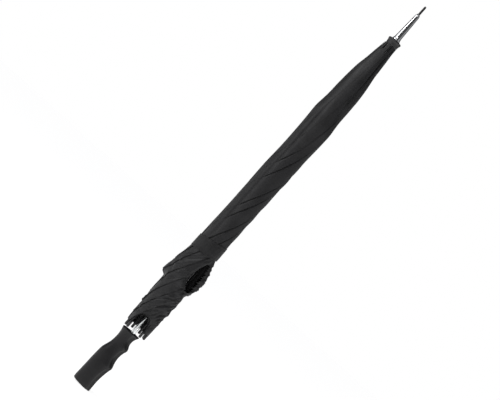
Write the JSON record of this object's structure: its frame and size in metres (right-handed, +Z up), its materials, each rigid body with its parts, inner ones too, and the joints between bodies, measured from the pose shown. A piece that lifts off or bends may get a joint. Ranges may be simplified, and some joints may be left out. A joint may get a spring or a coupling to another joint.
{
  "type": "golf umbrella",
  "caption": "Full-length golf umbrella, rolled and strapped shut, with a contoured pistol-style grip, a chromed shaft and ferrule, and ribs, stretchers and runner that open it",
  "frame": {"origin": "on the shaft's axis, in the plane of the grip's flat end", "axes": "+Z up the shaft to the ferrule's tip, +X toward the grip's finger grooves, +Y completes the right-handed frame"},
  "size_m": [0.0646, 0.0663, 1],
  "materials": {
    "grip_plastic": "satin soft-touch",
    "chrome": "polished",
    "hub_plastic": "moulded",
    "tip_plastic": "semi-gloss",
    "rib_steel": "black lacquer",
    "catch_steel": "plated",
    "cloth": "fine plain-weave pongee with a soft sheen"
  },
  "bodies": {
    "root": {"grip": "grip_plastic", "shaft": "chrome", "crown": "hub_plastic", "canopy_cap": "hub_plastic", "ferrule": "chrome", "ferrule_tip": "tip_plastic"},
    "rib_1": {"rib_1": "rib_steel"},
    "rib_end_1": {"rib_end_1": "rib_steel", "rib_tip_1": "tip_plastic", "tie_strap": "cloth"},
    "stretcher_1": {"stretcher_1": "rib_steel"},
    "panel_1": {"canopy_panel_1": "cloth"},
    "edge_1": {"canopy_edge_1": "cloth"},
    "rib_2": {"rib_2": "rib_steel"},
    "rib_end_2": {"rib_end_2": "rib_steel", "rib_tip_2": "tip_plastic"},
    "stretcher_2": {"stretcher_2": "rib_steel"},
    "panel_2": {"canopy_panel_2": "cloth"},
    "edge_2": {"canopy_edge_2": "cloth"},
    "rib_3": {"rib_3": "rib_steel"},
    "rib_end_3": {"rib_end_3": "rib_steel", "rib_tip_3": "tip_plastic"},
    "stretcher_3": {"stretcher_3": "rib_steel"},
    "panel_3": {"canopy_panel_3": "cloth"},
    "edge_3": {"canopy_edge_3": "cloth"},
    "rib_4": {"rib_4": "rib_steel"},
    "rib_end_4": {"rib_end_4": "rib_steel", "rib_tip_4": "tip_plastic"},
    "stretcher_4": {"stretcher_4": "rib_steel"},
    "panel_4": {"canopy_panel_4": "cloth"},
    "edge_4": {"canopy_edge_4": "cloth"},
    "rib_5": {"rib_5": "rib_steel"},
    "rib_end_5": {"rib_end_5": "rib_steel", "rib_tip_5": "tip_plastic"},
    "stretcher_5": {"stretcher_5": "rib_steel"},
    "panel_5": {"canopy_panel_5": "cloth"},
    "edge_5": {"canopy_edge_5": "cloth"},
    "rib_6": {"rib_6": "rib_steel"},
    "rib_end_6": {"rib_end_6": "rib_steel", "rib_tip_6": "tip_plastic"},
    "stretcher_6": {"stretcher_6": "rib_steel"},
    "panel_6": {"canopy_panel_6": "cloth"},
    "edge_6": {"canopy_edge_6": "cloth"},
    "rib_7": {"rib_7": "rib_steel"},
    "rib_end_7": {"rib_end_7": "rib_steel", "rib_tip_7": "tip_plastic"},
    "stretcher_7": {"stretcher_7": "rib_steel"},
    "panel_7": {"canopy_panel_7": "cloth"},
    "edge_7": {"canopy_edge_7": "cloth"},
    "rib_8": {"rib_8": "rib_steel"},
    "rib_end_8": {"rib_end_8": "rib_steel", "rib_tip_8": "tip_plastic"},
    "stretcher_8": {"stretcher_8": "rib_steel"},
    "panel_8": {"canopy_panel_8": "cloth"},
    "edge_8": {"canopy_edge_8": "cloth"},
    "runner": {"runner": "hub_plastic"},
    "lower_catch": {"lower_catch": "catch_steel"},
    "upper_catch": {"upper_catch": "catch_steel"},
    "tie_tab": {"tie_tab": "cloth"}
  },
  "joints": [
    {"name": "rib_1_pivot", "type": "hinge", "parent": "root", "child": "rib_1", "pos_m": [0.00831, 0.00344, 0.89], "axis": [0.3827, -0.9239, 0], "range_deg": [0, 76], "deforming": ["canopy_panel_1", "canopy_panel_2", "canopy_panel_3", "canopy_panel_4", "canopy_panel_5", "canopy_panel_6", "canopy_panel_7", "canopy_panel_8", "canopy_edge_1", "canopy_edge_2", "canopy_edge_3", "canopy_edge_4", "canopy_edge_5", "canopy_edge_6", "canopy_edge_7", "canopy_edge_8", "tie_strap"]},
    {"name": "rib_end_1_flex", "type": "hinge", "parent": "rib_1", "child": "rib_end_1", "pos_m": [0.01395, 0.00578, 0.56206], "axis": [0.3827, -0.9239, 0], "range_deg": [-24, 0]},
    {"name": "stretcher_1_pivot", "type": "hinge", "parent": "rib_1", "child": "stretcher_1", "pos_m": [0.01395, 0.00578, 0.56206], "axis": [0.3827, -0.9239, 0], "range_deg": [-152, 0]},
    {"name": "panel_1_fan", "type": "hinge", "parent": "rib_1", "child": "panel_1", "pos_m": [0.0063, 0.00261, 0.89873], "axis": [0.8964, 0.3713, 0.2419], "range_deg": [0, 45]},
    {"name": "edge_1_fan", "type": "hinge", "parent": "rib_end_1", "child": "edge_1", "pos_m": [-0.11955, -0.04952, 0.86626], "axis": [0.728, 0.3016, 0.6157], "range_deg": [0, 45]},
    {"name": "rib_2_pivot", "type": "hinge", "parent": "root", "child": "rib_2", "pos_m": [0.00344, 0.00831, 0.89], "axis": [0.9239, -0.3827, 0], "range_deg": [0, 76]},
    {"name": "rib_end_2_flex", "type": "hinge", "parent": "rib_2", "child": "rib_end_2", "pos_m": [0.00578, 0.01395, 0.56206], "axis": [0.9239, -0.3827, 0], "range_deg": [-24, 0]},
    {"name": "stretcher_2_pivot", "type": "hinge", "parent": "rib_2", "child": "stretcher_2", "pos_m": [0.00578, 0.01395, 0.56206], "axis": [0.9239, -0.3827, 0], "range_deg": [-152, 0]},
    {"name": "panel_2_fan", "type": "hinge", "parent": "rib_2", "child": "panel_2", "pos_m": [0.00261, 0.0063, 0.89873], "axis": [0.3713, 0.8964, 0.2419], "range_deg": [0, 45]},
    {"name": "edge_2_fan", "type": "hinge", "parent": "rib_end_2", "child": "edge_2", "pos_m": [-0.04952, -0.11955, 0.86626], "axis": [0.3016, 0.728, 0.6157], "range_deg": [0, 45]},
    {"name": "rib_3_pivot", "type": "hinge", "parent": "root", "child": "rib_3", "pos_m": [-0.00344, 0.00831, 0.89], "axis": [0.9239, 0.3827, 0], "range_deg": [0, 76]},
    {"name": "rib_end_3_flex", "type": "hinge", "parent": "rib_3", "child": "rib_end_3", "pos_m": [-0.00578, 0.01395, 0.56206], "axis": [0.9239, 0.3827, 0], "range_deg": [-24, 0]},
    {"name": "stretcher_3_pivot", "type": "hinge", "parent": "rib_3", "child": "stretcher_3", "pos_m": [-0.00578, 0.01395, 0.56206], "axis": [0.9239, 0.3827, 0], "range_deg": [-152, 0]},
    {"name": "panel_3_fan", "type": "hinge", "parent": "rib_3", "child": "panel_3", "pos_m": [-0.00261, 0.0063, 0.89873], "axis": [-0.3713, 0.8964, 0.2419], "range_deg": [0, 45]},
    {"name": "edge_3_fan", "type": "hinge", "parent": "rib_end_3", "child": "edge_3", "pos_m": [0.04952, -0.11955, 0.86626], "axis": [-0.3016, 0.728, 0.6157], "range_deg": [0, 45]},
    {"name": "rib_4_pivot", "type": "hinge", "parent": "root", "child": "rib_4", "pos_m": [-0.00831, 0.00344, 0.89], "axis": [0.3827, 0.9239, 0], "range_deg": [0, 76]},
    {"name": "rib_end_4_flex", "type": "hinge", "parent": "rib_4", "child": "rib_end_4", "pos_m": [-0.01395, 0.00578, 0.56206], "axis": [0.3827, 0.9239, 0], "range_deg": [-24, 0]},
    {"name": "stretcher_4_pivot", "type": "hinge", "parent": "rib_4", "child": "stretcher_4", "pos_m": [-0.01395, 0.00578, 0.56206], "axis": [0.3827, 0.9239, 0], "range_deg": [-152, 0]},
    {"name": "panel_4_fan", "type": "hinge", "parent": "rib_4", "child": "panel_4", "pos_m": [-0.0063, 0.00261, 0.89873], "axis": [-0.8964, 0.3713, 0.2419], "range_deg": [0, 45]},
    {"name": "edge_4_fan", "type": "hinge", "parent": "rib_end_4", "child": "edge_4", "pos_m": [0.11955, -0.04952, 0.86626], "axis": [-0.728, 0.3016, 0.6157], "range_deg": [0, 45]},
    {"name": "rib_5_pivot", "type": "hinge", "parent": "root", "child": "rib_5", "pos_m": [-0.00831, -0.00344, 0.89], "axis": [-0.3827, 0.9239, 0], "range_deg": [0, 76]},
    {"name": "rib_end_5_flex", "type": "hinge", "parent": "rib_5", "child": "rib_end_5", "pos_m": [-0.01395, -0.00578, 0.56206], "axis": [-0.3827, 0.9239, 0], "range_deg": [-24, 0]},
    {"name": "stretcher_5_pivot", "type": "hinge", "parent": "rib_5", "child": "stretcher_5", "pos_m": [-0.01395, -0.00578, 0.56206], "axis": [-0.3827, 0.9239, 0], "range_deg": [-152, 0]},
    {"name": "panel_5_fan", "type": "hinge", "parent": "rib_5", "child": "panel_5", "pos_m": [-0.0063, -0.00261, 0.89873], "axis": [-0.8964, -0.3713, 0.2419], "range_deg": [0, 45]},
    {"name": "edge_5_fan", "type": "hinge", "parent": "rib_end_5", "child": "edge_5", "pos_m": [0.11955, 0.04952, 0.86626], "axis": [-0.728, -0.3016, 0.6157], "range_deg": [0, 45]},
    {"name": "rib_6_pivot", "type": "hinge", "parent": "root", "child": "rib_6", "pos_m": [-0.00344, -0.00831, 0.89], "axis": [-0.9239, 0.3827, 0], "range_deg": [0, 76]},
    {"name": "rib_end_6_flex", "type": "hinge", "parent": "rib_6", "child": "rib_end_6", "pos_m": [-0.00578, -0.01395, 0.56206], "axis": [-0.9239, 0.3827, 0], "range_deg": [-24, 0]},
    {"name": "stretcher_6_pivot", "type": "hinge", "parent": "rib_6", "child": "stretcher_6", "pos_m": [-0.00578, -0.01395, 0.56206], "axis": [-0.9239, 0.3827, 0], "range_deg": [-152, 0]},
    {"name": "panel_6_fan", "type": "hinge", "parent": "rib_6", "child": "panel_6", "pos_m": [-0.00261, -0.0063, 0.89873], "axis": [-0.3713, -0.8964, 0.2419], "range_deg": [0, 45]},
    {"name": "edge_6_fan", "type": "hinge", "parent": "rib_end_6", "child": "edge_6", "pos_m": [0.04952, 0.11955, 0.86626], "axis": [-0.3016, -0.728, 0.6157], "range_deg": [0, 45]},
    {"name": "rib_7_pivot", "type": "hinge", "parent": "root", "child": "rib_7", "pos_m": [0.00344, -0.00831, 0.89], "axis": [-0.9239, -0.3827, 0], "range_deg": [0, 76]},
    {"name": "rib_end_7_flex", "type": "hinge", "parent": "rib_7", "child": "rib_end_7", "pos_m": [0.00578, -0.01395, 0.56206], "axis": [-0.9239, -0.3827, 0], "range_deg": [-24, 0]},
    {"name": "stretcher_7_pivot", "type": "hinge", "parent": "rib_7", "child": "stretcher_7", "pos_m": [0.00578, -0.01395, 0.56206], "axis": [-0.9239, -0.3827, 0], "range_deg": [-152, 0]},
    {"name": "panel_7_fan", "type": "hinge", "parent": "rib_7", "child": "panel_7", "pos_m": [0.00261, -0.0063, 0.89873], "axis": [0.3713, -0.8964, 0.2419], "range_deg": [0, 45]},
    {"name": "edge_7_fan", "type": "hinge", "parent": "rib_end_7", "child": "edge_7", "pos_m": [-0.04952, 0.11955, 0.86626], "axis": [0.3016, -0.728, 0.6157], "range_deg": [0, 45]},
    {"name": "rib_8_pivot", "type": "hinge", "parent": "root", "child": "rib_8", "pos_m": [0.00831, -0.00344, 0.89], "axis": [-0.3827, -0.9239, 0], "range_deg": [0, 76]},
    {"name": "rib_end_8_flex", "type": "hinge", "parent": "rib_8", "child": "rib_end_8", "pos_m": [0.01395, -0.00578, 0.56206], "axis": [-0.3827, -0.9239, 0], "range_deg": [-24, 0]},
    {"name": "stretcher_8_pivot", "type": "hinge", "parent": "rib_8", "child": "stretcher_8", "pos_m": [0.01395, -0.00578, 0.56206], "axis": [-0.3827, -0.9239, 0], "range_deg": [-152, 0]},
    {"name": "panel_8_fan", "type": "hinge", "parent": "rib_8", "child": "panel_8", "pos_m": [0.0063, -0.00261, 0.89873], "axis": [0.8964, -0.3713, 0.2419], "range_deg": [0, 45]},
    {"name": "edge_8_fan", "type": "hinge", "parent": "rib_end_8", "child": "edge_8", "pos_m": [-0.11955, 0.04952, 0.86626], "axis": [0.728, -0.3016, 0.6157], "range_deg": [0, 45]},
    {"name": "runner_travel", "type": "hinge", "parent": "stretcher_1", "child": "runner", "pos_m": [0.00831, 0.00344, 0.23411], "axis": [0.3827, -0.9239, 0], "range_deg": [0, 76]},
    {"name": "lower_catch_press", "type": "slide", "parent": "root", "child": "lower_catch", "axis": [1, 0, 0], "range_m": [0, 0.003], "stiffness_N_per_m": 300},
    {"name": "upper_catch_press", "type": "slide", "parent": "root", "child": "upper_catch", "axis": [1, 0, 0], "range_m": [0, 0.003], "stiffness_N_per_m": 300},
    {"name": "tie_tab_peel", "type": "hinge", "parent": "rib_end_1", "child": "tie_tab", "pos_m": [0.0161, 0.03028, 0.367], "axis": [0, 0, -1], "range_deg": [0, 100]}
  ],
  "couplings": [
    {"joint": "rib_end_1_flex", "follows": "rib_1_pivot", "ratio": -0.31579},
    {"joint": "stretcher_1_pivot", "follows": "rib_1_pivot", "ratio": -2},
    {"joint": "panel_1_fan", "follows": "rib_1_pivot", "ratio": 0.59211},
    {"joint": "edge_1_fan", "follows": "rib_1_pivot", "ratio": 0.59211},
    {"joint": "rib_2_pivot", "follows": "rib_1_pivot", "ratio": 1},
    {"joint": "rib_end_2_flex", "follows": "rib_1_pivot", "ratio": -0.31579},
    {"joint": "stretcher_2_pivot", "follows": "rib_1_pivot", "ratio": -2},
    {"joint": "panel_2_fan", "follows": "rib_1_pivot", "ratio": 0.59211},
    {"joint": "edge_2_fan", "follows": "rib_1_pivot", "ratio": 0.59211},
    {"joint": "rib_3_pivot", "follows": "rib_1_pivot", "ratio": 1},
    {"joint": "rib_end_3_flex", "follows": "rib_1_pivot", "ratio": -0.31579},
    {"joint": "stretcher_3_pivot", "follows": "rib_1_pivot", "ratio": -2},
    {"joint": "panel_3_fan", "follows": "rib_1_pivot", "ratio": 0.59211},
    {"joint": "edge_3_fan", "follows": "rib_1_pivot", "ratio": 0.59211},
    {"joint": "rib_4_pivot", "follows": "rib_1_pivot", "ratio": 1},
    {"joint": "rib_end_4_flex", "follows": "rib_1_pivot", "ratio": -0.31579},
    {"joint": "stretcher_4_pivot", "follows": "rib_1_pivot", "ratio": -2},
    {"joint": "panel_4_fan", "follows": "rib_1_pivot", "ratio": 0.59211},
    {"joint": "edge_4_fan", "follows": "rib_1_pivot", "ratio": 0.59211},
    {"joint": "rib_5_pivot", "follows": "rib_1_pivot", "ratio": 1},
    {"joint": "rib_end_5_flex", "follows": "rib_1_pivot", "ratio": -0.31579},
    {"joint": "stretcher_5_pivot", "follows": "rib_1_pivot", "ratio": -2},
    {"joint": "panel_5_fan", "follows": "rib_1_pivot", "ratio": 0.59211},
    {"joint": "edge_5_fan", "follows": "rib_1_pivot", "ratio": 0.59211},
    {"joint": "rib_6_pivot", "follows": "rib_1_pivot", "ratio": 1},
    {"joint": "rib_end_6_flex", "follows": "rib_1_pivot", "ratio": -0.31579},
    {"joint": "stretcher_6_pivot", "follows": "rib_1_pivot", "ratio": -2},
    {"joint": "panel_6_fan", "follows": "rib_1_pivot", "ratio": 0.59211},
    {"joint": "edge_6_fan", "follows": "rib_1_pivot", "ratio": 0.59211},
    {"joint": "rib_7_pivot", "follows": "rib_1_pivot", "ratio": 1},
    {"joint": "rib_end_7_flex", "follows": "rib_1_pivot", "ratio": -0.31579},
    {"joint": "stretcher_7_pivot", "follows": "rib_1_pivot", "ratio": -2},
    {"joint": "panel_7_fan", "follows": "rib_1_pivot", "ratio": 0.59211},
    {"joint": "edge_7_fan", "follows": "rib_1_pivot", "ratio": 0.59211},
    {"joint": "rib_8_pivot", "follows": "rib_1_pivot", "ratio": 1},
    {"joint": "rib_end_8_flex", "follows": "rib_1_pivot", "ratio": -0.31579},
    {"joint": "stretcher_8_pivot", "follows": "rib_1_pivot", "ratio": -2},
    {"joint": "panel_8_fan", "follows": "rib_1_pivot", "ratio": 0.59211},
    {"joint": "edge_8_fan", "follows": "rib_1_pivot", "ratio": 0.59211},
    {"joint": "runner_travel", "follows": "rib_1_pivot", "ratio": 1}
  ]
}
